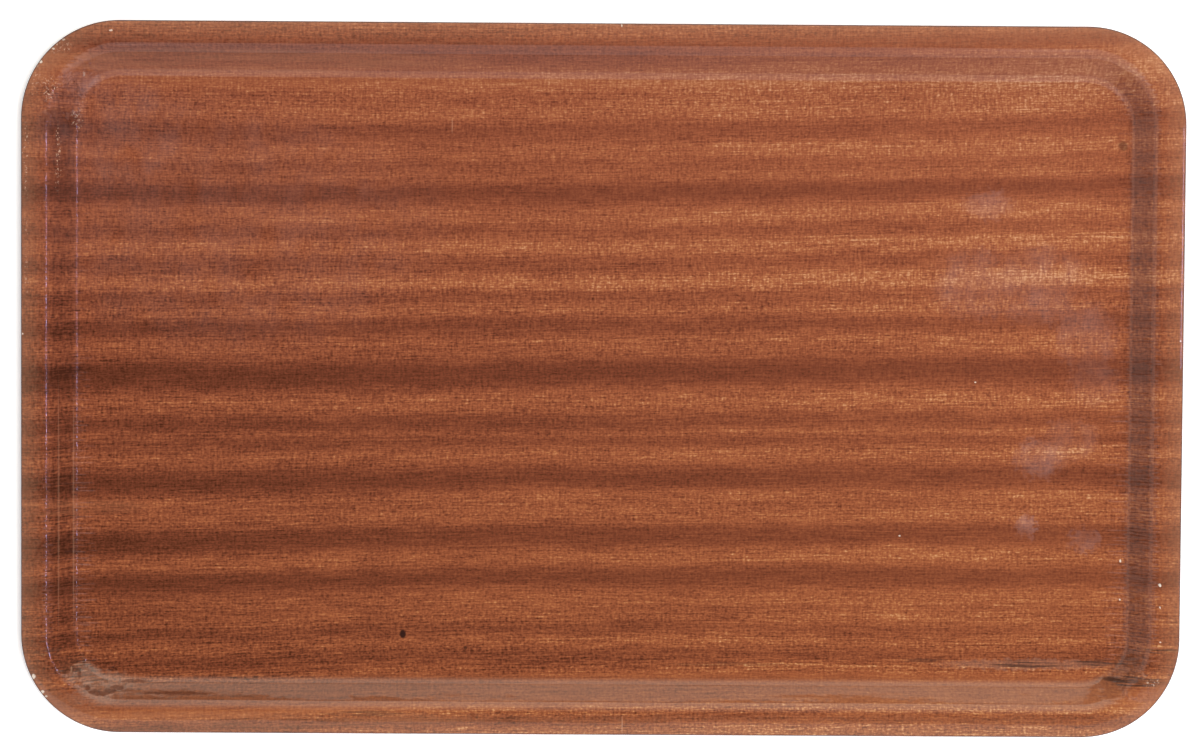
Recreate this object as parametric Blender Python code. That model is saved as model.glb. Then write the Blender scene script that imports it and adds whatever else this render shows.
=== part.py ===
"""Gastronorm serving tray, size 1/1, pressed from laminated wood.

Nine sheets are laid up flat, with resin between them, and hot-pressed in one stroke into a shallow dish:
a clear resin overlay on each side, a sapele face veneer under each overlay, and a core of thin veneers
whose grain crosses from ply to ply. The pressed board is then trimmed to its outline and its edge is
sanded round. Each sheet is an object here. The resin lines are the gaps between them.

Metres, +Z up, +X along the length. The origin is the middle of the underside.
"""

import math

import bmesh
import bpy

MM = 0.001

# The outline of a size 1/1 gastronorm tray, and how tall it stands
TRAY_LENGTH = 530 * MM
TRAY_WIDTH = 325 * MM
TRAY_HEIGHT = 18 * MM
CORNER_RADIUS = 45 * MM

# The rim's section. Each bend's radius is the one inside the bend, as the press tool has it: the rim's on
# the underside of the board and the floor's on its top face. The flange is rolled, so it leans out and
# down from its crest, and lies at the droop angle where it is trimmed.
FLANGE_WIDTH = 8.5 * MM
FLANGE_DROOP = math.radians(8)
RIM_BEND_RADIUS = 4.2 * MM
FLOOR_BEND_RADIUS = 6 * MM
WALL_ANGLE = math.radians(52)
EDGE_ROUND_RADIUS = 1 * MM

# The lay-up, one sheet's thickness each, and the resin line that joins a sheet to the next
OVERLAY_THICKNESS = 0.12 * MM
FACE_VENEER_THICKNESS = 0.5 * MM
CORE_PLY_THICKNESS = 0.45 * MM
RESIN_LINE = 0.1 * MM
CORE_PLIES = 5

# How finely the curves are faceted
CORNER_STEPS = 7
BEND_STEPS = 4
FLANGE_STEPS = 2

SMOOTH_ANGLE = math.radians(30)

# Colour, roughness and a resin coat for each kind of sheet
SAPELE = {"name": "sapele_veneer", "colour": (0.302, 0.107, 0.047), "roughness": 0.35, "coat": 0.5}
BIRCH_LONG = {"name": "birch_long_grain", "colour": (0.479, 0.283, 0.138), "roughness": 0.6, "coat": 0.0}
BIRCH_CROSS = {"name": "birch_cross_grain", "colour": (0.342, 0.182, 0.083), "roughness": 0.6, "coat": 0.0}
OVERLAY = {"name": "melamine_overlay", "colour": (0.262, 0.091, 0.041), "roughness": 0.15, "coat": 1.0}


def sheets_from_the_top():
    """Name, thickness and material of each sheet of the lay-up, in order from the top face down."""
    cores = []
    for number in range(CORE_PLIES, 0, -1):
        grain, look = (("cross", BIRCH_CROSS), ("long", BIRCH_LONG))[(CORE_PLIES - number) % 2]
        cores.append((f"core_ply_{number}_{grain}", CORE_PLY_THICKNESS, look))
    return [
        ("top_overlay", OVERLAY_THICKNESS, OVERLAY),
        ("top_face_veneer", FACE_VENEER_THICKNESS, SAPELE),
        *cores,
        ("underside_face_veneer", FACE_VENEER_THICKNESS, SAPELE),
        ("underside_overlay", OVERLAY_THICKNESS, OVERLAY),
    ]


def board_thickness():
    """All the sheets and the resin lines between them."""
    sheets = sheets_from_the_top()
    return sum(thickness for _, thickness, _ in sheets) + RESIN_LINE * (len(sheets) - 1)


def rim_bend_radius(depth):
    """The radius of the rim's bend on the surface this deep under the top face."""
    return RIM_BEND_RADIUS + board_thickness() - depth


def floor_bend_radius(depth):
    """The radius of the floor's bend on the surface this deep under the top face."""
    return FLOOR_BEND_RADIUS + depth


def flange_roll_radius(depth):
    """The radius of the flange's roll on the surface this deep under the top face."""
    return FLANGE_WIDTH / math.sin(FLANGE_DROOP) - depth


def wall_length():
    """The straight stretch of the wall between its two bends, along the slope."""
    drop = TRAY_HEIGHT - board_thickness()
    in_the_bends = (rim_bend_radius(0) + floor_bend_radius(0)) * (1 - math.cos(WALL_ANGLE))
    return (drop - in_the_bends) / math.sin(WALL_ANGLE)


def floor_inset():
    """How far in from the trimmed edge the flat floor starts."""
    in_the_bends = (rim_bend_radius(0) + floor_bend_radius(0)) * math.sin(WALL_ANGLE)
    return FLANGE_WIDTH + in_the_bends + wall_length() * math.cos(WALL_ANGLE)


def edge_inset(depth):
    """How far the sanded round cuts into the board's edge, at a depth under the top face."""
    from_a_face = max(min(depth, board_thickness() - depth), 0)
    into_the_round = max(EDGE_ROUND_RADIUS - from_a_face, 0)
    return EDGE_ROUND_RADIUS - math.sqrt(EDGE_ROUND_RADIUS**2 - into_the_round**2)


def flange_section(depth):
    """The flange's part of the section, from the trimmed edge to just before the crest."""
    radius = flange_roll_radius(depth)
    centre_height = TRAY_HEIGHT - flange_roll_radius(0)
    insets = [edge_inset(depth)]
    for step in range(FLANGE_STEPS - 1, 0, -1):
        insets.append(FLANGE_WIDTH - radius * math.sin(FLANGE_DROOP * step / FLANGE_STEPS))
    return [(inset, centre_height + math.sqrt(radius**2 - (FLANGE_WIDTH - inset) ** 2)) for inset in insets]


def section(depth):
    """The rim's section as (inset, height) pairs, from the edge to the floor, on the surface that lies
    this deep under the top face. Every such surface is parallel to the top face."""
    angles = [WALL_ANGLE * step / BEND_STEPS for step in range(BEND_STEPS + 1)]
    points = flange_section(depth)
    radius = rim_bend_radius(depth)
    for angle in angles:
        inset = FLANGE_WIDTH + radius * math.sin(angle)
        points.append((inset, TRAY_HEIGHT - rim_bend_radius(0) + radius * math.cos(angle)))
    radius = floor_bend_radius(depth)
    for angle in reversed(angles):
        inset = floor_inset() - radius * math.sin(angle)
        points.append((inset, board_thickness() + floor_bend_radius(0) - radius * math.cos(angle)))
    return points


def ring_points(inset, height):
    """The tray's outline, drawn in by an inset, as points at one height. Its corners stay concentric."""
    radius = CORNER_RADIUS - inset
    points = []
    for quarter in range(4):
        side_x = 1 if quarter in (0, 3) else -1
        side_y = 1 if quarter in (0, 1) else -1
        centre_x = side_x * (TRAY_LENGTH / 2 - CORNER_RADIUS)
        centre_y = side_y * (TRAY_WIDTH / 2 - CORNER_RADIUS)
        for step in range(CORNER_STEPS + 1):
            angle = math.pi / 2 * (quarter + step / CORNER_STEPS)
            x = centre_x + radius * math.cos(angle)
            y = centre_y + radius * math.sin(angle)
            points.append((x, y, height))
    return points


def add_ring(mesh, inset, height):
    """Adds a closed ring of edges to a bmesh and returns them."""
    corners = [mesh.verts.new(point) for point in ring_points(inset, height)]
    return [mesh.edges.new((corners[i - 1], corners[i])) for i in range(len(corners))]


def add_dish(mesh, depth):
    """Adds one face of a sheet: rings bridged from the edge to the floor. Returns its outermost ring."""
    rings = [add_ring(mesh, inset, height) for inset, height in section(depth)]
    for outer, inner in zip(rings, rings[1:]):
        bmesh.ops.bridge_loops(mesh, edges=outer + inner)
    bmesh.ops.contextual_create(mesh, geom=rings[-1])
    return rings[0]


def add_sheet(name, depth, thickness, material, tray):
    """One pressed sheet, whose upper face lies this deep under the top face of the board."""
    mesh = bmesh.new()
    upper = add_dish(mesh, depth)
    lower = add_dish(mesh, depth + thickness)
    bmesh.ops.bridge_loops(mesh, edges=upper + lower)
    bmesh.ops.recalc_face_normals(mesh, faces=mesh.faces)
    data = bpy.data.meshes.new(name)
    mesh.to_mesh(data)
    mesh.free()
    data.shade_smooth()
    data.set_sharp_from_angle(angle=SMOOTH_ANGLE)
    data.materials.append(material)
    sheet = bpy.data.objects.new(name, data)
    bpy.context.collection.objects.link(sheet)
    sheet.parent = tray


def finish_of(look, made):
    """The material of a kind of sheet, made the first time that it is asked for."""
    if look["name"] not in made:
        material = bpy.data.materials.new(look["name"])
        material.use_nodes = True
        surface = material.node_tree.nodes["Principled BSDF"]
        surface.inputs["Base Color"].default_value = (*look["colour"], 1)
        surface.inputs["Roughness"].default_value = look["roughness"]
        surface.inputs["Metallic"].default_value = 0
        surface.inputs["Coat Weight"].default_value = look["coat"]
        made[look["name"]] = material
    return made[look["name"]]


def build_tray():
    """Lays up every sheet, from the top face down, under one empty at the tray's origin."""
    tray = bpy.data.objects.new("tray", None)
    bpy.context.collection.objects.link(tray)
    made = {}
    depth = 0
    for name, thickness, look in sheets_from_the_top():
        add_sheet(name, depth, thickness, finish_of(look, made), tray)
        depth += thickness + RESIN_LINE
    print(f"board {board_thickness() / MM:.2f} mm thick, floor starts {floor_inset() / MM:.2f} mm in")


for leftover in list(bpy.data.objects):
    bpy.data.objects.remove(leftover)
build_tray()
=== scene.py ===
# %% [markdown]
# This scene dresses a gastronorm tray of size 1/1: a shallow serving tray, pressed in one stroke
# from veneers that were laid up flat. Nothing on it moves. The packed CAD model comes in first,
# as a fixed frame in metres, and every piece made here takes the place of one of its nine sheets.
# Its box is kept, because the finished model must not grow past it.

# %% Load the frame
import math

import bmesh
import bpy
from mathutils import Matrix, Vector


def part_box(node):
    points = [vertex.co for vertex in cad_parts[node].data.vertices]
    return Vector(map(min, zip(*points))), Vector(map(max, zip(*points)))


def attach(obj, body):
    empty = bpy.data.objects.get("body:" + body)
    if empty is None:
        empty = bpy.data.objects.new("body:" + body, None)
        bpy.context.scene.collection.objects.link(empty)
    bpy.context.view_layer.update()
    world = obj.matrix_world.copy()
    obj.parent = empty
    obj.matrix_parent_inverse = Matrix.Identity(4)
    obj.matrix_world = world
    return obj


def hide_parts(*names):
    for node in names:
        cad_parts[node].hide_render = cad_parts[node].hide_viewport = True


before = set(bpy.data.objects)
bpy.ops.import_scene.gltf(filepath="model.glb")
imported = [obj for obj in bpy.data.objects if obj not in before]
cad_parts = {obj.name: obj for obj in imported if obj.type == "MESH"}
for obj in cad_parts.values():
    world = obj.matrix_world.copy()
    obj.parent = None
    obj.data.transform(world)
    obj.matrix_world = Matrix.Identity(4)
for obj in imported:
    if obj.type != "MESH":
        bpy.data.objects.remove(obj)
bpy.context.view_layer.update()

# %% [markdown]
# Everything about the shape follows from one line: the rim's section. Coming in from the trimmed
# edge, the board climbs a little to a crest, bends down, runs down a straight wall, and bends out
# into the flat floor. Each sheet follows that line at its own depth, so all its bends share the
# same centres. These are the real sizes, and the same as the CAD's.

# %% The sizes of the pressed board
MM = 0.001
TRAY_LENGTH, TRAY_WIDTH, TRAY_HEIGHT = 530 * MM, 325 * MM, 18 * MM
CORNER_RADIUS = 45 * MM
FLANGE_WIDTH, FLANGE_DROOP = 8.5 * MM, math.radians(8)
RIM_BEND_RADIUS, FLOOR_BEND_RADIUS = 4.2 * MM, 6 * MM
WALL_ANGLE = math.radians(52)
EDGE_ROUND_RADIUS = 1 * MM
OVERLAY, VENEER, PLY, RESIN_LINE = 0.12 * MM, 0.5 * MM, 0.45 * MM, 0.1 * MM

LAY_UP = [
    ("overlay_top", OVERLAY, "top_overlay"),
    ("veneer_top", VENEER, "top_face_veneer"),
    ("ply_5_cross", PLY, "core_ply_5_cross"),
    ("ply_4_long", PLY, "core_ply_4_long"),
    ("ply_3_cross", PLY, "core_ply_3_cross"),
    ("ply_2_long", PLY, "core_ply_2_long"),
    ("ply_1_cross", PLY, "core_ply_1_cross"),
    ("veneer_underside", VENEER, "underside_face_veneer"),
    ("overlay_underside", OVERLAY, "underside_overlay"),
]
BOARD = sum(thickness for _, thickness, _ in LAY_UP) + RESIN_LINE * (len(LAY_UP) - 1)
RIM_BEND_ON_TOP = RIM_BEND_RADIUS + BOARD
FLANGE_ROLL_ON_TOP = FLANGE_WIDTH / math.sin(FLANGE_DROOP)
print(f"board {BOARD / MM:.2f} mm thick, {len(LAY_UP)} sheets")

# %% [markdown]
# The CAD facets its curves coarsely, because it is for collision and drawings. A gloss film shows
# every facet, so the same section is drawn here with many more steps. Each point also remembers
# how far in from the trimmed edge it lies, and later the wear on the flange reads that number.

# %% The section of one sheet
BEND_STEPS, FLANGE_STEPS, EDGE_STEPS = 12, 6, 4
FLOOR_MARGIN = 1.5 * MM
BENDS = RIM_BEND_ON_TOP + FLOOR_BEND_RADIUS
DROP_IN_BENDS = BENDS * (1 - math.cos(WALL_ANGLE))
WALL = (TRAY_HEIGHT - BOARD - DROP_IN_BENDS) / math.sin(WALL_ANGLE)
FLOOR_INSET = FLANGE_WIDTH + BENDS * math.sin(WALL_ANGLE) + WALL * math.cos(WALL_ANGLE)


def edge_point(depth):
    """Where the edge's sanded round cuts the surface that lies this deep under the top face."""
    from_a_face = max(min(depth, BOARD - depth), 0)
    into_the_round = max(EDGE_ROUND_RADIUS - from_a_face, 0)
    return EDGE_ROUND_RADIUS - math.sqrt(EDGE_ROUND_RADIUS**2 - into_the_round**2)


def flange_height(inset, depth):
    """The height of the rolled flange at this inset and depth."""
    radius = FLANGE_ROLL_ON_TOP - depth
    return TRAY_HEIGHT - FLANGE_ROLL_ON_TOP + math.sqrt(radius**2 - (FLANGE_WIDTH - inset) ** 2)


def face_line(depth):
    """One face of a sheet as (inset, height) pairs, from just inside its edge to the floor."""
    line = []
    for step in range(1, FLANGE_STEPS):
        lean = FLANGE_DROOP * (1 - step / FLANGE_STEPS)
        inset = FLANGE_WIDTH - (FLANGE_ROLL_ON_TOP - depth) * math.sin(lean)
        line.append((inset, flange_height(inset, depth)))
    angles = [WALL_ANGLE * step / BEND_STEPS for step in range(BEND_STEPS + 1)]
    radius, centre = RIM_BEND_ON_TOP - depth, TRAY_HEIGHT - RIM_BEND_ON_TOP
    line += [(FLANGE_WIDTH + radius * math.sin(a), centre + radius * math.cos(a)) for a in angles]
    radius, centre = FLOOR_BEND_RADIUS + depth, BOARD + FLOOR_BEND_RADIUS
    angles.reverse()
    line += [(FLOOR_INSET - radius * math.sin(a), centre - radius * math.cos(a)) for a in angles]
    return line + [(FLOOR_INSET + FLOOR_MARGIN, BOARD - depth)]


def sheet_section(depth, thickness):
    """The sheet in section: out along its upper face, round its edge, back along its lower one."""
    edge = []
    for step in range(EDGE_STEPS + 1):
        below = depth + thickness * step / EDGE_STEPS
        edge.append((edge_point(below), flange_height(edge_point(below), below)))
    return face_line(depth)[::-1] + edge + face_line(depth + thickness)


print(f"floor starts {FLOOR_INSET / MM:.2f} mm in, wall {WALL / MM:.2f} mm long")

# %% [markdown]
# Nodes are added all through this lesson, for shapes and for finishes, so one small function does
# it. It sets the node's settings, then fills each input with a number or links it to another
# node.

# %% One helper for every node
def add_node(tree, kind, inputs=None, **settings):
    """Adds a node. An input takes a number, a colour, a socket, or a node for its first output."""
    node = tree.nodes.new(kind)
    for name, value in settings.items():
        setattr(node, name, value)
    for name, value in (inputs or {}).items():
        if isinstance(value, bpy.types.Node):
            value = value.outputs[0]
        if isinstance(value, bpy.types.NodeSocket):
            tree.links.new(value, node.inputs[name])
        else:
            node.inputs[name].default_value = value
    return node


print("add_node:", add_node.__doc__)

# %% [markdown]
# A pressed sheet is its section carried round the tray's outline, so Geometry Nodes make it: a
# rectangle whose corners are filleted is the path, and the section is the profile. The corners
# stay concentric, as they are in the press tool. The same tree makes all nine sheets, and only
# the section differs.

# %% The tree that presses a sheet
def pressing_tree():
    tree = bpy.data.node_groups.new("pressed_sheet", "GeometryNodeTree")
    sockets = [
        ("Section", "NodeSocketGeometry"),
        ("Tray Length", "NodeSocketFloat"),
        ("Tray Width", "NodeSocketFloat"),
        ("Corner Radius", "NodeSocketFloat"),
        ("Corner Segments", "NodeSocketInt"),
        ("Finish", "NodeSocketMaterial"),
    ]
    for name, kind in sockets:
        tree.interface.new_socket(name, in_out="INPUT", socket_type=kind)
    tree.interface.new_socket("Sheet", in_out="OUTPUT", socket_type="NodeSocketGeometry")
    given = add_node(tree, "NodeGroupInput").outputs
    box = {"Width": given["Tray Length"], "Height": given["Tray Width"]}
    outline = add_node(tree, "GeometryNodeCurvePrimitiveQuadrilateral", box)
    corners = {"Curve": outline, "Count": given["Corner Segments"]}
    corners |= {"Radius": given["Corner Radius"]}
    rounded = add_node(tree, "GeometryNodeFilletCurve", corners, mode="POLY")
    upright = add_node(tree, "GeometryNodeSetCurveNormal", {"Curve": rounded}, mode="Z_UP")
    profile = add_node(tree, "GeometryNodeMeshToCurve", {"Mesh": given["Section"]})
    swept = add_node(tree, "GeometryNodeCurveToMesh", {"Curve": upright, "Profile Curve": profile})
    real = add_node(tree, "GeometryNodeRealizeInstances", {"Geometry": swept})
    covered = {"Geometry": real, "Material": given["Finish"]}
    finished = add_node(tree, "GeometryNodeSetMaterial", covered)
    add_node(tree, "NodeGroupOutput", {"Sheet": finished})
    return tree


pressing = pressing_tree()
print("tree", pressing.name, "with", len(pressing.nodes), "nodes")

# %% [markdown]
# The sweep leaves two rings open where the flat floor begins, one on each face. Each is closed
# with one flat face. A narrow margin of floor was swept along with the bend, so the gloss stays
# flat on the floor and turns only in the bend. The modifier is then gone, and what is left is a
# plain mesh.

# %% Press the nine sheets
CORNER_SEGMENTS = 28
SHARP_ANGLE = math.radians(35)
MERGE_DISTANCE = 0.001 * MM


def press_sheet(name, depth, thickness, finish):
    """Sweeps one sheet's section round the tray with the tree, and keeps the plain mesh."""
    points = sheet_section(depth, thickness)
    edges = [(i, i + 1) for i in range(len(points) - 1)]
    section = bpy.data.meshes.new(name)
    section.from_pydata([(-inset, -height, 0) for inset, height in points], edges, [])
    from_edge = section.attributes.new("from_edge", "FLOAT", "POINT")
    from_edge.data.foreach_set("value", [inset for inset, _ in points])
    sheet = bpy.data.objects.new(name, section)
    bpy.context.collection.objects.link(sheet)
    press = sheet.modifiers.new("press", "NODES")
    press.node_group = pressing
    sizes = {
        "Tray Length": TRAY_LENGTH,
        "Tray Width": TRAY_WIDTH,
        "Corner Radius": CORNER_RADIUS,
        "Corner Segments": CORNER_SEGMENTS,
        "Finish": finish,
    }
    for item in pressing.interface.items_tree:
        if item.name in sizes:
            press[item.identifier] = sizes[item.name]
    scene_now = bpy.context.evaluated_depsgraph_get()
    swept = bpy.data.meshes.new_from_object(
        sheet.evaluated_get(scene_now), preserve_all_data_layers=True, depsgraph=scene_now
    )
    sheet.modifiers.remove(press)
    sheet.data = swept
    close_floor(swept)
    return sheet


def close_floor(mesh):
    """Closes the two floor rings, turns every face outwards and shades the bends smooth."""
    work = bmesh.new()
    work.from_mesh(mesh)
    bmesh.ops.remove_doubles(work, verts=work.verts, dist=MERGE_DISTANCE)
    bmesh.ops.holes_fill(work, edges=[e for e in work.edges if e.is_boundary], sides=0)
    bmesh.ops.recalc_face_normals(work, faces=work.faces)
    work.to_mesh(mesh)
    work.free()
    mesh.shade_smooth()
    mesh.set_sharp_from_angle(angle=SHARP_ANGLE)


FINISH_OF = {
    "overlay": "sapele_under_melamine_film",
    "veneer": "sapele_veneer_edge",
    "cross": "birch_cross_grain",
    "long": "birch_long_grain",
}
finishes = {}
sheets = {}
depth_now = 0
for name, thickness, node in LAY_UP:
    look = next(FINISH_OF[word] for word in FINISH_OF if word in name)
    if name == "overlay_underside":
        look += "_underside"
    if look not in finishes:
        finishes[look] = bpy.data.materials.new(look)
    sheets[name] = press_sheet(name, depth_now, thickness, finishes[look])
    low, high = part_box(node)
    drifts = []
    for i in range(3):
        places = [vertex.co[i] for vertex in sheets[name].data.vertices]
        drifts.append(abs(min(places) - low[i]) + abs(max(places) - high[i]))
    faces = len(sheets[name].data.polygons)
    print(f"{name}: {faces} faces, box {max(drifts) / MM:.3f} mm off the CAD's")
    depth_now += thickness + RESIN_LINE

# %% [markdown]
# Colours are picked as the eye sees them, in sRGB hex, but the shader works in linear light. One
# function converts them.

# %% Colours
def linear(code):
    """An sRGB hex colour as linear RGBA."""
    channels = [int(code[i : i + 2], 16) / 255 for i in (1, 3, 5)]
    return [c / 12.92 if c <= 0.04045 else ((c + 0.055) / 1.055) ** 2.4 for c in channels] + [1.0]


def empty_tree(material):
    material.use_nodes = True
    material.node_tree.nodes.clear()
    return material.node_tree


print("sapele mid tone in linear light", [round(c, 3) for c in linear("#925037")])

# %% [markdown]
# The face is quarter-cut sapele. Its fibres lean one way and then the other as the tree grows, so
# a cut sheet shows broad ribbons, light and dark, that run along the grain. On this sheet the
# grain climbs a little to the right and spreads slightly towards both ends. Bending the
# coordinates once, here, makes the ribbons, the fibres and the pores all follow it.

# %% Coordinates along and across the grain
GRAIN_RISE = 0.014  # metres up for each metre along
GRAIN_FLARE = 0.42  # how much it has spread one metre along, by the square of the distance
WANDER = 0.9 * MM
SWAY_SIZE = (140, 45, 0)  # of the noise that makes the grain wander, in mm


def scale_for(sizes):
    """The scale of a noise this large in x, y and z, in mm. A size of 0 leaves that axis out."""
    return tuple(1 / (size * MM) if size else 0 for size in sizes)


def grain_coordinates(tree):
    """The place on the veneer as the tree grew it: along, across, and the two as a vector."""
    place = add_node(tree, "ShaderNodeTexCoord").outputs["Object"]
    part = add_node(tree, "ShaderNodeSeparateXYZ", {0: place}).outputs
    risen = {0: part["X"], 1: -GRAIN_RISE, 2: part["Y"]}
    level = add_node(tree, "ShaderNodeMath", risen, operation="MULTIPLY_ADD")
    square = add_node(tree, "ShaderNodeMath", {0: part["X"], 1: part["X"]}, operation="MULTIPLY")
    flared = {0: square, 1: GRAIN_FLARE, 2: 1}
    spread = add_node(tree, "ShaderNodeMath", flared, operation="MULTIPLY_ADD")
    straight = add_node(tree, "ShaderNodeMath", {0: level, 1: spread}, operation="DIVIDE")
    slow = add_node(tree, "ShaderNodeMapping", {"Vector": place, "Scale": scale_for(SWAY_SIZE)})
    sway = add_node(tree, "ShaderNodeTexNoise", {"Vector": slow, "Scale": 1, "Detail": 1.5})
    centred = add_node(tree, "ShaderNodeMath", {0: sway, 1: 0.5}, operation="SUBTRACT")
    wandering = {0: centred, 1: 4 * WANDER, 2: straight}
    across = add_node(tree, "ShaderNodeMath", wandering, operation="MULTIPLY_ADD")
    grain = add_node(tree, "ShaderNodeCombineXYZ", {"X": part["X"], "Y": across})
    return part["X"], across, grain


print(f"the grain climbs {GRAIN_RISE * TRAY_LENGTH / MM:.1f} mm from end to end")

# %% [markdown]
# The ribbons are each as wide as they are on the real sheet, so they are written down as a list:
# how far from the middle of the tray, in millimetres, and how light the wood is there. A Float
# Curve turns the distance into lightness. Before that the distance is ruffled by a stretched
# noise, because a ribbon's border is made of fibres and is never a clean line.

# %% Ribbons
TOP_RIBBONS = [
    (-162, 0.56), (-158.5, 0.55), (-155.5, 0.34), (-152, 0.54), (-149, 0.64), (-145, 0.54),
    (-134, 0.5), (-127, 0.34), (-121, 0.48), (-115, 0.37), (-109, 0.51), (-106, 0.45),
    (-101, 0.51), (-91, 0.27), (-82, 0.54), (-73, 0.27), (-66, 0.47), (-61, 0.52), (-58, 0.47),
    (-55, 0.52), (-46, 0.26), (-34, 0.53), (-28, 0.36), (-25, 0.47), (-20, 0.33), (-11, 0.55),
    (3, 0.24), (7, 0.29), (17, 0.51), (25, 0.33), (32, 0.54), (38, 0.42), (44, 0.66), (53, 0.42),
    (61, 0.63), (68, 0.44), (74, 0.61), (86, 0.31), (93, 0.54), (98, 0.47), (103, 0.6),
    (114, 0.42), (122, 0.62), (127, 0.58), (135, 0.72), (139, 0.72), (143, 0.63), (148, 0.54),
    (152, 0.42), (157, 0.5), (162, 0.58),
]
BORDER_FIBRES = (38, 2.2, 0)  # in mm along and across the grain
BORDER_RUFFLE = 4.5 * MM


def across_curve(tree, across, places, width):
    """A Float Curve through places, each in millimetres from the middle, and their values."""
    span = {"Value": across, "From Min": -width / 2, "From Max": width / 2}
    share = add_node(tree, "ShaderNodeMapRange", span)
    curve = add_node(tree, "ShaderNodeFloatCurve", {"Value": share})
    line = curve.mapping.curves[0]
    knots = [(0.5 + distance * MM / width, value) for distance, value in places]
    line.points[0].location, line.points[1].location = knots[0], knots[-1]
    for knot in knots[1:-1]:
        line.points.new(*knot)
    curve.mapping.update()
    return curve


def ribbon_lightness(tree, grain, across, ribbons, width):
    """How light the wood is, from its ribbons alone."""
    fibre_border = {"Vector": grain, "Scale": scale_for(BORDER_FIBRES)}
    fibre_border = add_node(tree, "ShaderNodeMapping", fibre_border)
    ruffle = add_node(tree, "ShaderNodeTexNoise", {"Vector": fibre_border, "Scale": 1, "Detail": 3})
    centred = add_node(tree, "ShaderNodeMath", {0: ruffle, 1: 0.5}, operation="SUBTRACT")
    ruffled = {0: centred, 1: BORDER_RUFFLE, 2: across}
    ruffled = add_node(tree, "ShaderNodeMath", ruffled, operation="MULTIPLY_ADD")
    return across_curve(tree, ruffled, ribbons, width)


print(len(TOP_RIBBONS), "places across the sheet describe its ribbons")

# %% [markdown]
# Seen close, sapele is a fine weave. Long fibres make light and dark lines less than a millimetre
# wide. Cells that lie in storeys cross them with short upright ripple marks about a millimetre
# apart. Open pores, cut lengthwise, are thin dark dashes. All of this is weaker in the dark
# ribbons, which are smoother, and it grows bolder from the back edge of the tray to the front
# one. Each is one noise, stretched to its own size.

# %% Fibres, ripple marks and pores
BOLDNESS = [
    (-162, 0.85), (-151, 0.75), (-147, 0.36), (-138, 0.36), (-133, 0.8), (-120, 0.74),
    (-90, 0.58), (-60, 0.6), (0, 0.56), (40, 0.54), (90, 0.43), (112, 0.45), (131, 0.5),
    (136, 0.34), (153, 0.34), (157, 0.55), (162, 0.55),
]
RIPPLE_STRENGTH = [(-162, 0.4), (-60, 0.5), (30, 0.7), (100, 0.7), (162, 0.6)]
APART = (3.7, 5.3)  # the step from one noise to the next, so that no two are alike
DARK_RIBBON, LIGHT_RIBBON = 0.25, 0.55  # a ribbon's lightness where its figure is calm, and bold
CALM, BOLD = 0.8, 1.8  # how strong the figure is in each


def fine_figure(tree, grain, across, ribbons):
    """The ribbons' lightness with the fine figure in it, and how bold the figure is."""
    ripple = across_curve(tree, across, RIPPLE_STRENGTH, TRAY_WIDTH)
    patterns = [  # size along and across the grain in mm, detail, strength
        ((90, 9), 2, 0.34),
        ((20, 0.8), 2, 0.8),
        ((2.6, 0.55), 1, 0.6),
        ((1.3, 0.95), 1, 0.75),
        ((1.0, 5), 1, ripple),
    ]
    total = None
    for number, ((along_mm, across_mm), detail, strength) in enumerate(patterns):
        fitted = {"Vector": grain, "Location": (number * APART[0], number * APART[1], 0)}
        fitted["Scale"] = scale_for((along_mm, across_mm, 0))
        laid = add_node(tree, "ShaderNodeMapping", fitted)
        noise = add_node(tree, "ShaderNodeTexNoise", {"Vector": laid, "Scale": 1, "Detail": detail})
        swing = add_node(tree, "ShaderNodeMath", {0: noise, 1: 0.5}, operation="SUBTRACT")
        summed = {0: swing, 1: strength, 2: total or 0.0}
        total = add_node(tree, "ShaderNodeMath", summed, operation="MULTIPLY_ADD")
    calm = {"Value": ribbons, "From Min": DARK_RIBBON, "From Max": LIGHT_RIBBON}
    calm |= {"To Min": CALM, "To Max": BOLD}
    bold = across_curve(tree, across, BOLDNESS, TRAY_WIDTH)
    loudness = {0: add_node(tree, "ShaderNodeMapRange", calm), 1: bold}
    loudness = add_node(tree, "ShaderNodeMath", loudness, operation="MULTIPLY")
    figured = {0: total, 1: loudness, 2: ribbons}
    return add_node(tree, "ShaderNodeMath", figured, operation="MULTIPLY_ADD"), bold


GOLD_LINES = (-132, -120.5, -103.5, -83.5, -66.6, -54, -34.6, -24, -9.7, 17.6, 31, 44, 62.5, 106)
GOLD_HALF_WIDTH, GOLD_STRENGTH = 1.6, 0.17
PAST_THE_EDGE = 163  # mm from the middle, where no long thread is
LONG_THREAD, DASH, PORE = (170, 1.1, 0), (9, 1.3, 0), (2.6, 0.6, 0)  # in mm along and across
THREAD_STARTS, THREAD_FULL, THREAD_GLOW = 1.14, 1.44, 0.28
PORE_STARTS, PORE_FULL = 0.63, 0.77


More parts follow.
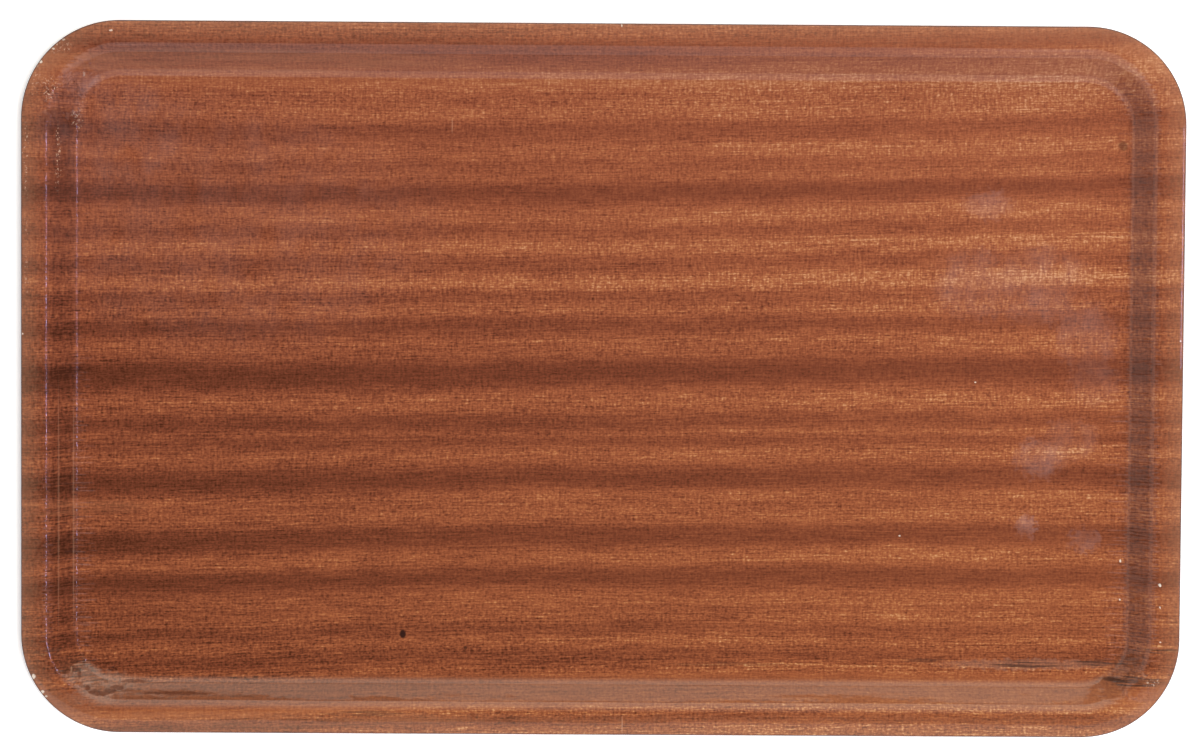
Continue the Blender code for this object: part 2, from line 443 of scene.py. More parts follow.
def light_fibres(tree, grain, across, lightness, bold):
    """Adds bright threads that are broken into dashes. A few ribbons carry a long one."""
    long_lines = {"Vector": grain, "Scale": scale_for(LONG_THREAD)}
    long_lines = add_node(tree, "ShaderNodeMapping", long_lines)
    lines = add_node(tree, "ShaderNodeTexNoise", {"Vector": long_lines, "Scale": 1, "Detail": 1})
    knots = [(-PAST_THE_EDGE, 0)]
    for line in GOLD_LINES:
        knots += [(line - GOLD_HALF_WIDTH, 0), (line, 1), (line + GOLD_HALF_WIDTH, 0)]
    favoured = across_curve(tree, across, knots + [(PAST_THE_EDGE, 0)], TRAY_WIDTH)
    gathered = {0: favoured, 1: GOLD_STRENGTH, 2: lines}
    gathered = add_node(tree, "ShaderNodeMath", gathered, operation="MULTIPLY_ADD")
    dashes = add_node(tree, "ShaderNodeMapping", {"Vector": grain, "Scale": scale_for(DASH)})
    broken = add_node(tree, "ShaderNodeTexNoise", {"Vector": dashes, "Scale": 1, "Detail": 2})
    both = add_node(tree, "ShaderNodeMath", {0: gathered, 1: broken}, operation="ADD")
    glow = {"Value": both, "From Min": THREAD_STARTS, "From Max": THREAD_FULL}
    thread = add_node(tree, "ShaderNodeMapRange", glow | {"To Max": THREAD_GLOW})
    shining = {0: thread, 1: bold, 2: lightness}
    return add_node(tree, "ShaderNodeMath", shining, operation="MULTIPLY_ADD")


def pores(tree, grain):
    """Where the dark pore dashes are, from 0 to 1, drawn wide enough to show."""
    dash = add_node(tree, "ShaderNodeMapping", {"Vector": grain, "Scale": scale_for(PORE)})
    noise = add_node(tree, "ShaderNodeTexNoise", {"Vector": dash, "Scale": 1, "Detail": 1})
    deep = {"Value": noise, "From Min": PORE_STARTS, "From Max": PORE_FULL}
    return add_node(tree, "ShaderNodeMapRange", deep)


print("boldness", BOLDNESS[0][1], "at the front edge and", BOLDNESS[-1][1], "at the back one")

# %% [markdown]
# Lightness becomes colour through one ramp, from the brown of a pore to the gold of a lit fibre.
# The sheet is also a little pinker towards its back edge and more orange towards the front one,
# as solid wood is.

# %% Sapele tones
SAPELE_TONES = [
    (0.0, "#4A2416"), (0.28, "#7C422D"), (0.5, "#985539"), (0.7, "#AE6744"), (0.86, "#C38258"),
    (1.0, "#D7A27A"),
]
PORE_DARKENING = -0.17
ORANGE_FRONT, PINK_BACK = (1, 1.0, 0.85, 1), (0.97, 0.96, 1, 1)  # what each multiplies the tone by


def sapele_colour(tree, lightness, dashes, across):
    """The colour of the wood, with the dark dashes of its pores."""
    darker = {0: dashes, 1: PORE_DARKENING, 2: lightness}
    darker = add_node(tree, "ShaderNodeMath", darker, operation="MULTIPLY_ADD")
    tones = add_node(tree, "ShaderNodeValToRGB", {"Fac": darker})
    band = tones.color_ramp.elements
    for place, code in SAPELE_TONES[1:-1]:
        band.new(place).color = linear(code)
    band[0].color, band[-1].color = linear(SAPELE_TONES[0][1]), linear(SAPELE_TONES[-1][1])
    side = {"Value": across, "From Min": -TRAY_WIDTH / 2, "From Max": TRAY_WIDTH / 2}
    side = add_node(tree, "ShaderNodeMapRange", side)
    warmth = add_node(tree, "ShaderNodeValToRGB", {"Fac": side})
    warmth.color_ramp.elements[0].color = ORANGE_FRONT
    warmth.color_ramp.elements[1].color = PINK_BACK
    both = {0: 1.0, 6: tones, 7: warmth}
    return add_node(tree, "ShaderNodeMix", both, data_type="RGBA", blend_type="MULTIPLY").outputs[2]


print(len(SAPELE_TONES), "tones, from", SAPELE_TONES[0][1], "to", SAPELE_TONES[-1][1])

# %% [markdown]
# The photographed tray has been used. Near the trimmed edge the film is scuffed, paler and less
# shiny, and that follows the number that each point kept: how far in from the edge it lies.
# Speckle noise breaks the scuffing up. The same number finds the wall, and there light is painted
# into the colour: painted shade makes the wood on the wall a little darker, and a painted
# reflection lays a pale milky haze over the front wall.

# %% Wear along the flange, and painted shade and haze on the wall
WALL_PAINTED_SHADE, FRONT_WALL_PAINTED_HAZE = -0.08, 0.075
SPECKLE, WEAR_REACH, RAGGEDNESS = 1.6 * MM, 11 * MM, 12 * MM
WALL_TOP, WALL_FOOT = (10 * MM, 17 * MM), (27 * MM, 21 * MM)  # where each starts and is full


def flange_wear(tree):
    """How worn the film is, from 0 on the floor to 1 at the trimmed edge."""
    from_edge = add_node(tree, "ShaderNodeAttribute", attribute_name="from_edge").outputs["Fac"]
    place = add_node(tree, "ShaderNodeTexCoord").outputs["Object"]
    speckle = {"Vector": place, "Scale": 1 / SPECKLE, "Detail": 4}
    speckle = add_node(tree, "ShaderNodeTexNoise", speckle)
    swing = add_node(tree, "ShaderNodeMath", {0: speckle, 1: 0.5}, operation="SUBTRACT")
    ragged = {0: swing, 1: RAGGEDNESS, 2: from_edge}
    ragged = add_node(tree, "ShaderNodeMath", ragged, operation="MULTIPLY_ADD")
    worn = {"Value": ragged, "From Min": WEAR_REACH, "From Max": 0}
    return add_node(tree, "ShaderNodeMapRange", worn)


def on_the_wall(tree):
    """1 on the wall, fading to 0 over the two bends."""
    from_edge = add_node(tree, "ShaderNodeAttribute", attribute_name="from_edge").outputs["Fac"]
    both = []
    for start, full in (WALL_TOP, WALL_FOOT):
        end = {"Value": from_edge, "From Min": start, "From Max": full}
        both.append(add_node(tree, "ShaderNodeMapRange", end, interpolation_type="SMOOTHSTEP"))
    return add_node(tree, "ShaderNodeMath", {0: both[0], 1: both[1]}, operation="MULTIPLY")


print(f"scuffed up to about {WEAR_REACH / MM:.0f} mm in from the trimmed edge")

# %% [markdown]
# Wood and use have also left single marks: dark mineral streaks and a few pale ones, burns, creases
# in the front left corner, scratches, dried wiping smears at the right, rows of pinholes in the
# film, and chips where the tray was dropped on its two left corners. Light is painted among them
# too: painted shade on the left wall below the back left corner, whitish painted highlights in the
# front left corner and at the front wall's foot, and two pale painted glints down the left rim.
# Each is a soft-edged ellipse at its own place. Ruffled coordinates make its outline uneven, a
# stretched noise can break it up into fibres, clouds or specks, and marks of one kind share one
# colour.

# %% Single marks
OUTLINE_LUMPS = 2.5 * MM
SOFT_BORDER = 0.45  # the share of an ellipse's radius over which it fades


def blot(tree, place, mark):
    """An ellipse: its centre in x and y, half its width and height, all in mm, and its strength."""
    x, y, half_width, half_height, strength = mark
    fitted = {"Vector": place, "Location": (-x / half_width, -y / half_height, 0)}
    fitted["Scale"] = scale_for((half_width, half_height, 0))
    laid = add_node(tree, "ShaderNodeMapping", fitted)
    dome = add_node(tree, "ShaderNodeTexGradient", {"Vector": laid}, gradient_type="SPHERICAL")
    edge = {"Value": dome.outputs["Fac"], "From Max": SOFT_BORDER, "To Max": strength}
    return add_node(tree, "ShaderNodeMapRange", edge, interpolation_type="SMOOTHSTEP")


def blots(tree, marks, ruffle, breakup=None):
    """All marks of one kind as one mask. ruffle is how far their outlines wander, in mm. breakup
    is the noise that breaks them up: its size along and across in mm, and the values where it
    starts and ends."""
    start = add_node(tree, "ShaderNodeTexCoord").outputs["Object"]
    uneven = {"Vector": start, "Scale": 1 / OUTLINE_LUMPS, "Detail": 2}
    uneven = add_node(tree, "ShaderNodeTexNoise", uneven)
    centred = {0: uneven.outputs["Color"], 1: (0.5, 0.5, 0.5)}
    centred = add_node(tree, "ShaderNodeVectorMath", centred, operation="SUBTRACT")
    moved = {0: centred, 1: (4 * ruffle * MM,) * 3, 2: start}
    place = add_node(tree, "ShaderNodeVectorMath", moved, operation="MULTIPLY_ADD").outputs[0]
    total = blot(tree, place, marks[0])
    for mark in marks[1:]:
        either = {0: total, 1: blot(tree, place, mark)}
        total = add_node(tree, "ShaderNodeMath", either, operation="MAXIMUM")
    if not breakup:
        return total
    along_mm, across_mm, low, high = breakup
    scale = scale_for((along_mm, across_mm, along_mm))
    laid = add_node(tree, "ShaderNodeMapping", {"Vector": start, "Scale": scale})
    noise = add_node(tree, "ShaderNodeTexNoise", {"Vector": laid, "Scale": 1, "Detail": 3})
    patches = {"Value": noise, "From Min": low, "From Max": high}
    patches = add_node(tree, "ShaderNodeMapRange", patches)
    return add_node(tree, "ShaderNodeMath", {0: total, 1: patches}, operation="MULTIPLY")


def marked(tree, colour, mask, code):
    """The colour with another one laid over it where the mask says."""
    laid_over = {0: mask, 6: colour, 7: linear(code)}
    return add_node(tree, "ShaderNodeMix", laid_over, data_type="RGBA").outputs[2]


BURNS = [(-91.1, -117.9, 1.7, 2.5, 0.95), (-62.4, -124.3, 1, 1, 0.7), (237.8, 108.4, 2.6, 2.8, 0.5)]
PALE_STREAKS = [(-165, 144, 130, 7, 0.3), (-140, -155, 110, 6, 0.22), (-240, -60, 40, 5, 0.15)]
# Creases in the front left corner; the last two are painted shade on the left wall below the back
# left corner.
CREASES_AND_SHADE = [
    (-235, -142.6, 1.5, 1.3, 0.6), (-232.4, -144.2, 2.9, 1.2, 0.55),
    (-228.8, -145.1, 4.2, 1.2, 0.6), (-225, -144.3, 3.6, 1.2, 0.55),
    (-221.8, -142.9, 4.2, 1.3, 0.5), (-214.5, -140.2, 8, 0.8, 0.5),
    (-241.5, -134.5, 2.8, 0.8, 0.45), (-239, -136.8, 0.8, 1.9, 0.45), (-195, -145, 20, 0.9, 0.5),
    (-247.7, 116.4, 11, 8, 0.5), (-247.5, 98, 6, 16, 0.2),
]
# Painted highlights: whitish patches where the folded front left corner and the front wall's foot
# mirror the light.
PAINTED_HIGHLIGHTS = [
    (-226, -140.5, 15, 5.5, 0.1), (-237, -136, 8, 5, 0.08), (-232, -147, 14, 4, 0.07),
    (196, -130.5, 50, 3, 0.11),
]
MINERAL_STREAKS = [
    (195.9, -130.3, 22, 2.2, 0.75), (230.3, -129.5, 16, 2, 0.8), (256.7, -122.5, 10, 1.6, 0.75),
    (246, -137, 20, 3, 0.9), (150, -129, 16, 1.4, 0.5), (-108, -153, 24, 1.6, 0.5),
    (-253, -125.5, 8, 2.4, 0.6), (60, -131, 40, 1.2, 0.35),
]
SMEARS = [
    (176, 81, 14, 8, 0.08), (171, 45, 26, 20, 0.07), (200, 45, 28, 22, 0.07),
    (222, 20, 16, 20, 0.07), (226, -1, 14, 12, 0.05), (201, -35, 14, 11, 0.11),
    (215, -27, 16, 12, 0.06), (194.9, -67, 6, 8, 0.14), (222.6, -73, 9, 7, 0.08),
    (-222, 112, 44, 30, 0.05), (-170, 70, 110, 70, 0.025), (-238, 134, 10, 7, 0.12),
    (-243.5, 120, 4, 1.6, 0.24),
]
CHIPS = [
    (-259.2, -136.9, 1.2, 1.5, 1), (-255.5, -144, 1.2, 1, 1), (-253.2, -145.8, 0.8, 0.8, 0.8),
    (-250, 149.4, 0.7, 0.5, 0.8), (-256.1, 143.5, 1, 1.1, 1), (-245.5, 153.2, 0.7, 0.4, 0.6),
    (-264.8, 83.8, 0.8, 1.2, 1), (-264.4, 19.7, 1.2, 0.7, 1), (-224.1, 157.9, 1, 0.6, 0.8),
    (137.3, -71.4, 0.6, 0.6, 0.8), (7.7, 162.1, 0.5, 1.4, 1), (171.1, -0.7, 0.45, 0.45, 1),
    (239, -82.3, 0.6, 0.6, 1), (238.8, -100.3, 0.6, 0.6, 1), (255.5, -92, 0.75, 0.9, 1),
    (255.6, -102.1, 0.45, 0.45, 0.9), (255.9, -118.2, 0.45, 0.45, 0.8),
    (263.7, 19.7, 0.55, 0.6, 1), (-237, 138, 0.7, 1.8, 0.25),
]
SPECKLED = [
    (-252, 131.9, 4.5, 7, 0.85), (-258.5, 138, 2.6, 12, 0.7), (-249, 150, 9, 3.4, 0.7),
    (-262.6, 98.7, 1.6, 22, 0.6), (-262.6, 55, 1.4, 22, 0.45), (-248.6, 100, 1.1, 18, 0.8),
    (252, -137.3, 5, 2.2, 0.7), (-241, 117, 3, 6, 0.5),
]
# Scratches; the two long lines down the left rim are painted glints, pale lines where the rim
# mirrors a lamp.
SCRATCHES_AND_GLINTS = [
    (-69.5, 115.7, 0.35, 4.5, 0.3), (9.9, -157.7, 0.35, 5, 0.4), (-248.3, -60, 0.45, 68, 0.15),
    (-242.3, -62, 0.45, 64, 0.15), (-239.8, -132.3, 2.8, 0.5, 0.35),
    (-242.5, -134.3, 0.5, 1.8, 0.3), (-237, -135.3, 1.8, 0.5, 0.3),
]
PUCKERS = [(-232, -140, 14, 8, 0.25), (-246, 125, 10, 13, 0.8), (246, -139, 9, 7, 0.5)]
MARKS = [  # a kind, its ruffle in mm, its breakup and its colour, from the lowest to the topmost
    (PALE_STREAKS, 0.6, (40, 2, 0.3, 0.6), "#BE7E58"),
    (PAINTED_HIGHLIGHTS, 1.5, None, "#C4B4A2"),
    (CREASES_AND_SHADE, 0.4, None, "#542A1C"),
    (BURNS, 0.3, None, "#2E1A14"),
    (MINERAL_STREAKS, 0.4, (16, 0.8, 0.42, 0.57), "#4A3228"),
    (SMEARS, 3, (9, 14, 0.28, 0.7), "#D8CCD2"),
    (SCRATCHES_AND_GLINTS, 0.1, None, "#D9A684"),
    (SPECKLED, 1, (0.9, 1.1, 0.56, 0.68), "#E2BFA6"),
    (CHIPS, 0.5, None, "#EFE2D2"),
]
print(sum(len(kind) for kind, *_ in MARKS), "single marks,", len(PUCKERS), "puckers")

# %% [markdown]
# Under the film the wood can't be touched. What shines is the film, a clear layer over
# everything, so the wood is a Principled base and the film is its coat. Pressing leaves the film
# very slightly uneven, which makes every reflection in the rim waver: a slow noise 55 mm wide and
# a ripple 6 mm wide bump it. At the two ends the sheets are bent across their fibres, so these
# stand up through the film and break a reflected line into dashes. In three corners the film
# puckered when the flat sheet was pressed into a dish, and where it creased, the crease is too
# steep to mirror a lamp.

# %% Build the film-covered sapele
FILM_SCUFFED = "#C9A080"
SLOW_WAVE, SLOW_HEIGHT = 55 * MM, 0.5 * MM
RIPPLE, RIPPLE_HEIGHT = 6 * MM, 0.03 * MM
RAISED_FIBRES, FIBRE_HEIGHT = (16, 1.3, 16), 0.3 * MM
WRINKLE, WRINKLE_HEIGHT = 11 * MM, 2.4 * MM
BENT_ENDS, PAST_CREST = (228 * MM, 236 * MM), (8.5 * MM, 10.5 * MM)  # where each starts and is full
CREASE_DULLING, WEAR_PALENESS, WORN_COAT = -1.4, 0.2, 0.35
WOOD_ROUGHNESS, WORN_ROUGHNESS = 0.55, 0.38


def film_surface(tree, colour, wear, creases_and_shade, puckers):
    """The shader: the wood under a clear coat that is worn, creased and a little uneven."""
    place = add_node(tree, "ShaderNodeTexCoord").outputs["Object"]
    slow = {"Vector": place, "Scale": 1 / SLOW_WAVE, "Detail": 1}
    slow = add_node(tree, "ShaderNodeTexNoise", slow)
    fine = {"Vector": place, "Scale": 1 / RIPPLE, "Detail": 2}
    fine = add_node(tree, "ShaderNodeTexNoise", fine)
    along_fibres = {"Vector": place, "Scale": scale_for(RAISED_FIBRES)}
    along_fibres = add_node(tree, "ShaderNodeMapping", along_fibres)
    fibres = add_node(tree, "ShaderNodeTexNoise", {"Vector": along_fibres, "Scale": 1, "Detail": 1})
    off_middle = add_node(tree, "ShaderNodeSeparateXYZ", {0: place}).outputs["X"]
    off_middle = add_node(tree, "ShaderNodeMath", {0: off_middle}, operation="ABSOLUTE")
    at_ends = {"Value": off_middle, "From Min": BENT_ENDS[0], "From Max": BENT_ENDS[1]}
    at_ends = add_node(tree, "ShaderNodeMapRange", at_ends)
    from_edge = add_node(tree, "ShaderNodeAttribute", attribute_name="from_edge").outputs["Fac"]
    past_crest = {"Value": from_edge, "From Min": PAST_CREST[0], "From Max": PAST_CREST[1]}
    past_crest = add_node(tree, "ShaderNodeMapRange", past_crest)
    raised = add_node(tree, "ShaderNodeMath", {0: fibres, 1: at_ends}, operation="MULTIPLY")
    raised = add_node(tree, "ShaderNodeMath", {0: raised, 1: past_crest}, operation="MULTIPLY")
    wrinkles = {"Vector": place, "Scale": 1 / WRINKLE, "Detail": 0.5}
    wrinkles = add_node(tree, "ShaderNodeTexNoise", wrinkles)
    folds = add_node(tree, "ShaderNodeMath", {0: wrinkles, 1: puckers}, operation="MULTIPLY")
    waves = {"Strength": 1.0, "Distance": SLOW_HEIGHT, "Height": slow}
    normal = add_node(tree, "ShaderNodeBump", waves)
    bumps = ((fine, RIPPLE_HEIGHT), (raised, FIBRE_HEIGHT), (folds, WRINKLE_HEIGHT))
    for height, distance in bumps:
        given = {"Strength": 1.0, "Distance": distance, "Height": height, "Normal": normal}
        normal = add_node(tree, "ShaderNodeBump", given)
    pale = add_node(tree, "ShaderNodeMath", {0: wear, 1: WEAR_PALENESS}, operation="MULTIPLY")
    scuffed = marked(tree, colour, pale, FILM_SCUFFED)
    coat = {"Value": wear, "To Min": 1.0, "To Max": WORN_COAT}
    matt = add_node(tree, "ShaderNodeMapRange", coat)
    folded = {0: creases_and_shade, 1: CREASE_DULLING, 2: matt}
    matt = add_node(tree, "ShaderNodeMath", folded, operation="MULTIPLY_ADD", use_clamp=True)
    rough = {"Value": wear, "To Min": WOOD_ROUGHNESS, "To Max": WORN_ROUGHNESS}
    rough = add_node(tree, "ShaderNodeMapRange", rough)
    patterned = {"Base Color": scuffed, "Roughness": rough, "Coat Weight": matt}
    patterned |= {"Normal": normal, "Coat Normal": normal}
    surface = add_node(tree, "ShaderNodeBsdfPrincipled", patterned)
    surface.inputs["Specular IOR Level"].default_value = 0.03
    surface.inputs["Coat Roughness"].default_value = 0.03
    surface.inputs["Coat IOR"].default_value = 1.5
    add_node(tree, "ShaderNodeOutputMaterial", {"Surface": surface})


# Partly the wood's own tone and partly painted light: the sheet is darker at its left end and
# lighter towards the right, where the light falls more strongly.
TONE_AND_LIGHT_ALONG_THE_SHEET = [  # millimetres from the middle, and a lightness, where 0.5 changes nothing
    (-265, 0.37), (0, 0.5), (165, 0.58), (205, 0.59), (235, 0.565), (265, 0.53),
]
# Painted reflection: a pale milky haze is laid into the colour over the front wall, where the film
# mirrors the bright back of the room.
FRONT_WALL = (-120 * MM, -136 * MM)  # across the tray, where its milkiness starts and is full
PAINTED_HAZE_TINT = "#BCA688"


def sapele_under_film(material, ribbons, used):
    """The whole finish of one face. A used face also gets the single marks."""
    tree = empty_tree(material)
    along, across, grain = grain_coordinates(tree)
    ribbons = ribbon_lightness(tree, grain, across, ribbons, TRAY_WIDTH)
    lightness, bold = fine_figure(tree, grain, across, ribbons)
    lightness = light_fibres(tree, grain, across, lightness, bold)
    # Partly painted light: the lightness rises from the left end to the right.
    tone_and_light_end_to_end = across_curve(tree, along, TONE_AND_LIGHT_ALONG_THE_SHEET, TRAY_LENGTH)
    tone_and_light_end_to_end = add_node(tree, "ShaderNodeMath", {0: tone_and_light_end_to_end, 1: 0.5}, operation="SUBTRACT")
    lightness = add_node(tree, "ShaderNodeMath", {0: lightness, 1: tone_and_light_end_to_end}, operation="ADD")
    wall = on_the_wall(tree)
    # Painted shade: the wood on the wall is made darker, as the steep wall gets less light.
    darker = {0: wall, 1: WALL_PAINTED_SHADE, 2: lightness}
    lightness = add_node(tree, "ShaderNodeMath", darker, operation="MULTIPLY_ADD")
    colour = sapele_colour(tree, lightness, pores(tree, grain), across)
    creases_and_shade, puckers = 0.0, 0.0
    if used:
        # Painted reflection: the pale haze over the front wall.
        in_front = {"Value": across, "From Min": FRONT_WALL[0], "From Max": FRONT_WALL[1]}
        in_front |= {"To Max": FRONT_WALL_PAINTED_HAZE}
        painted_haze = {0: wall, 1: add_node(tree, "ShaderNodeMapRange", in_front)}
        painted_haze = add_node(tree, "ShaderNodeMath", painted_haze, operation="MULTIPLY")
        colour = marked(tree, colour, painted_haze, PAINTED_HAZE_TINT)
        for kind, ruffle, breakup, code in MARKS:
            mask = blots(tree, kind, ruffle, breakup)
            colour = marked(tree, colour, mask, code)
            # The creases' mask, with the painted shade in it, also dulls the coat.
            if kind is CREASES_AND_SHADE:
                creases_and_shade = mask
        puckers = blots(tree, PUCKERS, 1.5)
    film_surface(tree, colour, flange_wear(tree), creases_and_shade, puckers)
    return len(tree.nodes)


top_nodes = sapele_under_film(finishes["sapele_under_melamine_film"], TOP_RIBBONS, True)
print("top", top_nodes, "nodes")

# %% [markdown]
# Nobody sees the underside in the photo. A pressed board is laid up balanced, with the same
# veneer and film on both sides, so the underside is another sheet of sapele with ribbons of its
# own.

# %% The underside
UNDERSIDE_RIBBONS = [
    (-162, 0.55), (-148, 0.6), (-139, 0.36), (-131, 0.62), (-112, 0.5), (-104, 0.33), (-95, 0.58),
    (-80, 0.64), (-71, 0.4), (-60, 0.57), (-52, 0.32), (-40, 0.34), (-33, 0.6), (-18, 0.48),
    (-10, 0.64), (2, 0.35), (13, 0.56), (27, 0.62), (36, 0.3), (44, 0.5), (58, 0.6), (66, 0.42),
    (78, 0.65), (90, 0.36), (99, 0.55), (113, 0.48), (121, 0.66), (134, 0.34), (142, 0.56),
    (162, 0.6),
]
underside = finishes["sapele_under_melamine_film_underside"]
print("underside", sapele_under_film(underside, UNDERSIDE_RIBBONS, False), "nodes")

# %% [markdown]
# At the trimmed edge the sheets show as thin stripes: the two sapele veneers outside, and birch
# between them. A ply whose grain runs along the tray shows long fibres on the long sides and
# pores at the ends, and a cross ply shows the opposite. A solid pattern, stretched along each
# ply's own grain, does both at once. Sanding leaves the end grain darker, and handling darkens
# the whole edge.

# %% The sheets at the trimmed edge
GRIME, GRIME_SIZE = "#4A3226", 18 * MM
GROOVE_DEPTH = 0.05 * MM


def edge_finish(material, dark, light, grain_size):
    """A sanded, lacquered edge. grain_size is the fibres' length in x, y and z in mm."""
    tree = empty_tree(material)
    place = add_node(tree, "ShaderNodeTexCoord").outputs["Object"]
    laid = add_node(tree, "ShaderNodeMapping", {"Vector": place, "Scale": scale_for(grain_size)})
    fibres = {"Vector": laid, "Scale": 1, "Detail": 4, "Roughness": 0.65}
    fibres = add_node(tree, "ShaderNodeTexNoise", fibres)
    tones = add_node(tree, "ShaderNodeValToRGB", {"Fac": fibres})
    band = tones.color_ramp.elements
    band[0].position, band[1].position = 0.3, 0.68
    band[0].color, band[1].color = linear(dark), linear(light)
    grime = {"Vector": place, "Scale": 1 / GRIME_SIZE, "Detail": 3}
    grime = add_node(tree, "ShaderNodeTexNoise", grime)
    dirt = {"Value": grime, "From Min": 0.45, "From Max": 0.75, "To Max": 0.45}
    dirt = add_node(tree, "ShaderNodeMapRange", dirt)
    dirty = marked(tree, tones, dirt, GRIME)
    rough = {"Value": fibres, "From Min": 0.3, "From Max": 0.7, "To Min": 0.62, "To Max": 0.42}
    rough = add_node(tree, "ShaderNodeMapRange", rough)
    grooves = {"Strength": 0.6, "Distance": GROOVE_DEPTH, "Height": fibres}
    grooves = add_node(tree, "ShaderNodeBump", grooves)
    given = {"Base Color": dirty, "Roughness": rough, "Normal": grooves}
    surface = add_node(tree, "ShaderNodeBsdfPrincipled", given)
    surface.inputs["Coat Weight"].default_value = 0.35
    surface.inputs["Coat Roughness"].default_value = 0.25
    add_node(tree, "ShaderNodeOutputMaterial", {"Surface": surface})


edge_finish(finishes["birch_long_grain"], "#5A3A25", "#7F593A", (40, 0.5, 0.3))
edge_finish(finishes["birch_cross_grain"], "#43281B", "#603C28", (0.5, 40, 0.3))
edge_finish(finishes["sapele_veneer_edge"], "#482215", "#6E3925", (30, 0.5, 0.3))
print("edge finishes done for", len(LAY_UP) - 2, "sheets")

# %% [markdown]
# Each fine sheet now stands for its CAD node, which is hidden, and rides on the one body of the
# model.

# %% Hand the sheets to the frame
for name, _, node in LAY_UP:
    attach(sheets[name], "root")
    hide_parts(node)
print(len(sheets), "sheets ride on the root body")

# %% [markdown]
# The tray lies on a plain white table. The photo's background is pure white, so the floor adds a
# little light of its own to what the camera and the gloss see of it, and still takes the tray's
# shadow.

# %% The white floor
FLOOR_HALF = 9.0
FLOOR_LEVEL = -0.1 * MM  # just under the tray, so that no two faces share a plane
FLOOR_GLOW = 0.5


def white_floor():
    mesh = bpy.data.meshes.new("white_floor")
    turns = ((-1, -1), (1, -1), (1, 1), (-1, 1))
    corners = [(x * FLOOR_HALF, y * FLOOR_HALF, FLOOR_LEVEL) for x, y in turns]
    mesh.from_pydata(corners, [], [(0, 1, 2, 3)])
    floor = bpy.data.objects.new("white_floor", mesh)
    bpy.context.collection.objects.link(floor)
    material = bpy.data.materials.new("white_paper")
    tree = empty_tree(material)
    seen = add_node(tree, "ShaderNodeLightPath").outputs
    direct = {0: seen["Is Camera Ray"], 1: seen["Is Glossy Ray"]}
    direct = add_node(tree, "ShaderNodeMath", direct, operation="MAXIMUM")
    any_view = {0: direct, 1: seen["Is Transmission Ray"]}
    any_view = add_node(tree, "ShaderNodeMath", any_view, operation="MAXIMUM")
    lift = add_node(tree, "ShaderNodeMath", {0: any_view, 1: FLOOR_GLOW}, operation="MULTIPLY")
    paper = add_node(tree, "ShaderNodeBsdfPrincipled", {"Emission Strength": lift})
    paper.inputs["Base Color"].default_value = linear("#F4F4F4")
    paper.inputs["Emission Color"].default_value = (1, 1, 1, 1)
    paper.inputs["Roughness"].default_value = 0.9
    paper.inputs["Specular IOR Level"].default_value = 0.0
    add_node(tree, "ShaderNodeOutputMaterial", {"Surface": paper})
    mesh.materials.append(material)


white_floor()
print(f"white floor {2 * FLOOR_HALF:.0f} m wide, {-FLOOR_LEVEL / MM:.1f} mm under the tray")

# %% [markdown]
# A gloss film is a mirror, so the rim tells where the light came from. The floor mirrors what is
# straight overhead, and that was dark. The world is therefore a dim room, a little paler towards
# the table's far edges, and it only fills the shadows.

# %% The room around the tray
OVERHEAD, LOW_DOWN = 0.03, 0.1  # how strongly the room shines from there
DIM_ABOVE = 0.6  # where 0 is level with the table and 1 is straight up


def room_light():
    world = bpy.data.worlds.new("room")
    bpy.context.scene.world = world
    world.use_nodes = True
    tree = world.node_tree
    tree.nodes.clear()
    around = add_node(tree, "ShaderNodeTexCoord").outputs["Generated"]
    up = add_node(tree, "ShaderNodeSeparateXYZ", {0: around}).outputs["Z"]
    height = {"Value": up, "From Min": DIM_ABOVE, "From Max": 0.0}
    height |= {"To Min": OVERHEAD, "To Max": LOW_DOWN}
    strength = add_node(tree, "ShaderNodeMapRange", height, interpolation_type="SMOOTHSTEP")
    sky = add_node(tree, "ShaderNodeBackground", {"Strength": strength})
    sky.inputs["Color"].default_value = linear("#F2F4FF")
    add_node(tree, "ShaderNodeOutputWorld", {"Surface": sky})


room_light()
print("room strength", OVERHEAD, "overhead and", LOW_DOWN, "low down")

# %% [markdown]
# Soft panels do the rest. Each is placed as it is seen from the tray: which way it lies, between
# which heights over the table, and how wide it spreads, all in degrees. The front, back and left
# panels are what the rim and its corners reflect as pale bands, and the back ones fade upwards. A
# short strip on the right gives the two dashed lines down the left rim. The key is a large
# softbox almost overhead. It only lights the wood and isn't mirrored, because its reflection
# would cover the floor with a veil that the photo doesn't have.

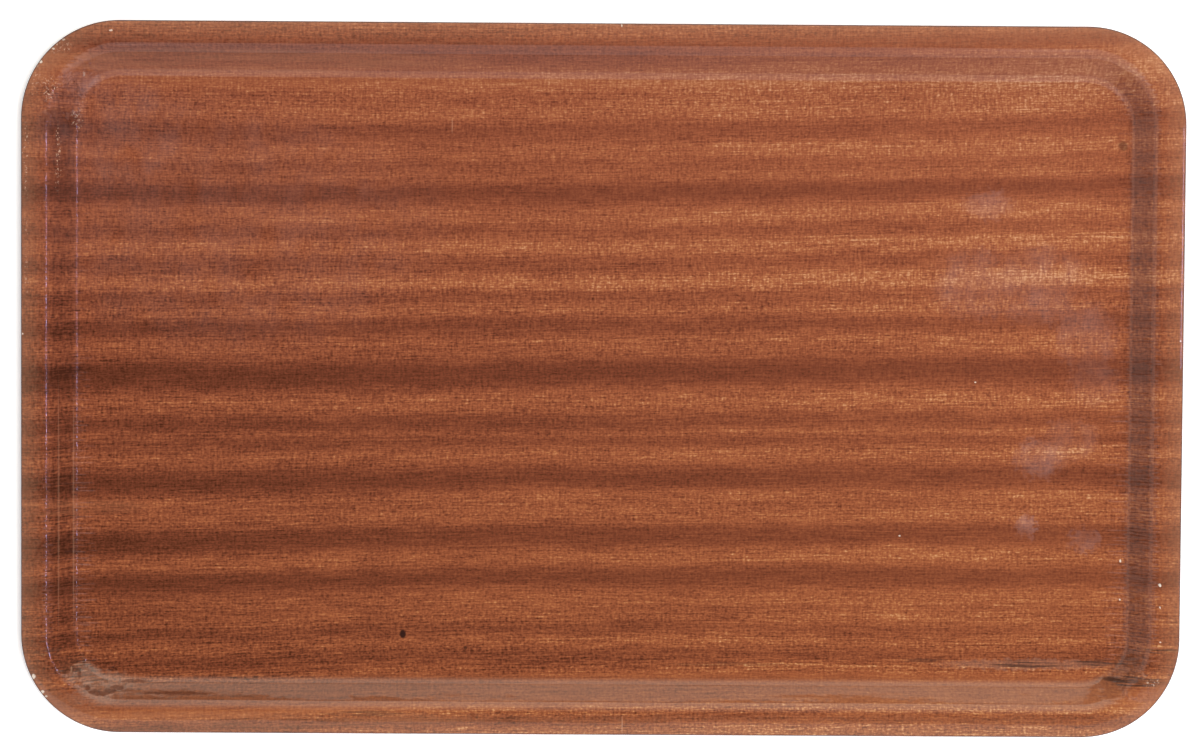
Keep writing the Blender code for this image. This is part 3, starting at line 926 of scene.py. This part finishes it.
# %% Soft panels
def soft_panel(name, heading, heights, spread, brightness, distance, colour):
    """A rectangular lamp that faces the tray. At brightness 1 it looks as bright as white paper."""
    turn, middle = math.radians(heading), math.radians(sum(heights) / 2)
    half_height = math.radians(heights[1] - heights[0]) / 2
    half_width = math.radians(spread) / 2
    light = bpy.data.lights.new(name, "AREA")
    light.shape = "RECTANGLE"
    light.size = 2 * distance * math.tan(half_width)
    light.size_y = 2 * distance * math.tan(half_height)
    light.energy = brightness * light.size * light.size_y * math.pi
    light.color = linear(colour)[:3]
    panel = bpy.data.objects.new(name, light)
    bpy.context.collection.objects.link(panel)
    level = math.cos(middle)
    away = Vector((math.cos(turn) * level, math.sin(turn) * level, math.sin(middle)))
    panel.location = away * distance
    panel.rotation_euler = away.to_track_quat("Z", "Y").to_euler()
    panel.visible_camera = False
    return panel


soft_panel("front_panel", -90, (2, 73), 60, 0.95, 1.6, "#FAF6FA")
soft_panel("front_left_panel", -141, (3, 62), 42, 0.75, 1.7, "#F8F6F8").visible_diffuse = False
soft_panel("front_right_panel", -40, (3, 62), 40, 0.55, 1.7, "#F2F2FF").visible_diffuse = False
soft_panel("back_panel", 77, (1, 45), 64, 1.7, 1.8, "#FFFDEE")
soft_panel("upper_back_panel", 77, (45, 58), 60, 0.9, 1.8, "#FFFDEE").visible_diffuse = False
soft_panel("top_back_panel", 77, (58, 70), 50, 0.4, 1.8, "#FFFDEE").visible_diffuse = False
soft_panel("left_panel", 161, (1, 42), 62, 0.8, 1.8, "#FCF9F4").visible_diffuse = False
soft_panel("right_strip", 1, (59, 61), 6.6, 62, 2.1, "#B8BCFF")
soft_panel("key_softbox", 8, (74, 84), 12, 58, 6.0, "#FFFCF6").visible_glossy = False
print(f"the key softbox is {bpy.data.lights['key_softbox'].size:.2f} m wide")

# %% [markdown]
# The photo looks almost straight down. Fitting a camera two metres up to the tray's outline in
# the photo put it a little behind and to the left of the middle, turned by these few degrees.

# %% The camera
CAMERA_PLACE = (-21.7 * MM, 107.8 * MM, 2000 * MM)
CAMERA_TURN = (-0.05343, -0.00993, 0.006686)  # radians about x, y and z
FOCAL_PIXELS, PHOTO_WIDTH = 4356.0, 1200

lens = bpy.data.cameras.new("camera")
lens.sensor_width = 36
lens.lens = FOCAL_PIXELS / PHOTO_WIDTH * lens.sensor_width
camera = bpy.data.objects.new("camera", lens)
bpy.context.collection.objects.link(camera)
camera.location = CAMERA_PLACE
camera.rotation_euler = CAMERA_TURN
bpy.context.scene.camera = camera
print(f"lens {lens.lens:.1f} mm")

# %% [markdown]
# Last, the view settings stay plain.

# %% Finish
bpy.context.scene.view_settings.view_transform = "Standard"
